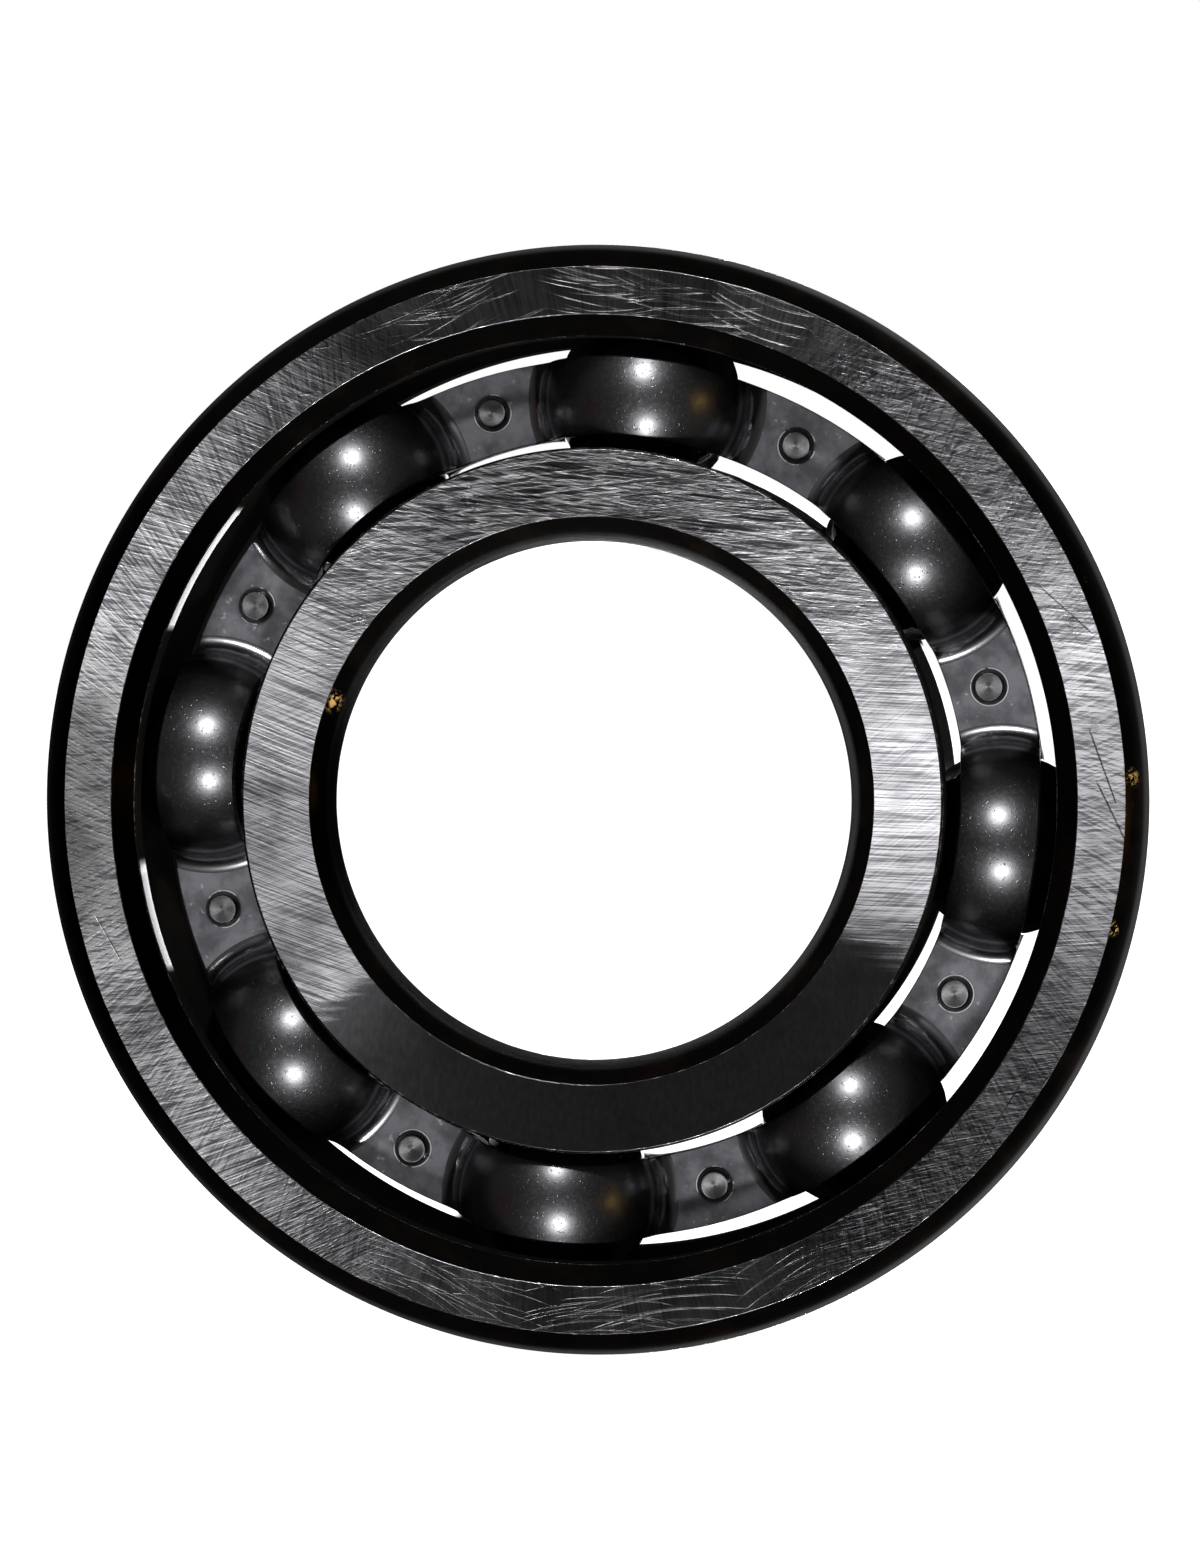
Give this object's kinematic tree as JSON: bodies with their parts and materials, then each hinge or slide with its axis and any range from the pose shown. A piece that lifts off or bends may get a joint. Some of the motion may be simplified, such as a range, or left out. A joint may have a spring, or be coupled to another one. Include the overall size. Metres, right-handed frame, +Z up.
{
  "type": "deep groove ball bearing",
  "caption": "Open single-row deep-groove ball bearing: ground outer and inner ring, steel balls in a riveted pressed-steel cage, free to turn without limit.",
  "frame": {"origin": "centre of the bearing: on its axis, midway between the ring faces, where a housing holds it by the outside diameter", "axes": "+Y along the bearing's axis, from the pictured front face to the rear face; +X to the right and +Z up as the front face is seen"},
  "size_m": [0.15, 0.035, 0.15],
  "materials": {
    "ring_steel": "surface-ground faces with fine crossing arcs; polished chamfers, bore and raceway",
    "cage_steel": "pressed sheet steel, satin, slightly pitted over the pockets",
    "ball_steel": "mirror-polished bearing steel",
    "rivet_steel": "upset rivet head, satin with turned rings"
  },
  "bodies": {
    "outer_ring": {"outer_ring": "ring_steel"},
    "inner_ring": {"inner_ring": "ring_steel"},
    "cage": {"cage_front": "cage_steel", "cage_rear": "cage_steel", "rivet_1": "rivet_steel", "rivet_2": "rivet_steel", "rivet_3": "rivet_steel", "rivet_4": "rivet_steel", "rivet_5": "rivet_steel", "rivet_6": "rivet_steel", "rivet_7": "rivet_steel", "rivet_8": "rivet_steel"},
    "ball_1": {"ball_1": "ball_steel"},
    "ball_2": {"ball_2": "ball_steel"},
    "ball_3": {"ball_3": "ball_steel"},
    "ball_4": {"ball_4": "ball_steel"},
    "ball_5": {"ball_5": "ball_steel"},
    "ball_6": {"ball_6": "ball_steel"},
    "ball_7": {"ball_7": "ball_steel"},
    "ball_8": {"ball_8": "ball_steel"}
  },
  "joints": [
    {"name": "inner_ring_spin", "type": "hinge", "parent": "outer_ring", "child": "inner_ring", "pos_m": [0, 0, 0], "axis": [0, 1, 0], "continuous": true},
    {"name": "cage_spin", "type": "hinge", "parent": "outer_ring", "child": "cage", "pos_m": [0, 0, 0], "axis": [0, 1, 0], "continuous": true},
    {"name": "ball_1_spin", "type": "hinge", "parent": "cage", "child": "ball_1", "pos_m": [0.04292, 0, 0.03439], "axis": [0, 1, 0], "continuous": true},
    {"name": "ball_2_spin", "type": "hinge", "parent": "cage", "child": "ball_2", "pos_m": [0.00604, 0, 0.05467], "axis": [0, 1, 0], "continuous": true},
    {"name": "ball_3_spin", "type": "hinge", "parent": "cage", "child": "ball_3", "pos_m": [-0.03439, 0, 0.04292], "axis": [0, 1, 0], "continuous": true},
    {"name": "ball_4_spin", "type": "hinge", "parent": "cage", "child": "ball_4", "pos_m": [-0.05467, 0, 0.00604], "axis": [0, 1, 0], "continuous": true},
    {"name": "ball_5_spin", "type": "hinge", "parent": "cage", "child": "ball_5", "pos_m": [-0.04292, 0, -0.03439], "axis": [0, 1, 0], "continuous": true},
    {"name": "ball_6_spin", "type": "hinge", "parent": "cage", "child": "ball_6", "pos_m": [-0.00604, 0, -0.05467], "axis": [0, 1, 0], "continuous": true},
    {"name": "ball_7_spin", "type": "hinge", "parent": "cage", "child": "ball_7", "pos_m": [0.03439, 0, -0.04292], "axis": [0, 1, 0], "continuous": true},
    {"name": "ball_8_spin", "type": "hinge", "parent": "cage", "child": "ball_8", "pos_m": [0.05467, 0, -0.00604], "axis": [0, 1, 0], "continuous": true}
  ],
  "couplings": [
    {"joint": "cage_spin", "follows": "inner_ring_spin", "ratio": 0.38455},
    {"joint": "ball_1_spin", "follows": "inner_ring_spin", "ratio": -2.0499},
    {"joint": "ball_2_spin", "follows": "inner_ring_spin", "ratio": -2.0499},
    {"joint": "ball_3_spin", "follows": "inner_ring_spin", "ratio": -2.0499},
    {"joint": "ball_4_spin", "follows": "inner_ring_spin", "ratio": -2.0499},
    {"joint": "ball_5_spin", "follows": "inner_ring_spin", "ratio": -2.0499},
    {"joint": "ball_6_spin", "follows": "inner_ring_spin", "ratio": -2.0499},
    {"joint": "ball_7_spin", "follows": "inner_ring_spin", "ratio": -2.0499},
    {"joint": "ball_8_spin", "follows": "inner_ring_spin", "ratio": -2.0499}
  ]
}
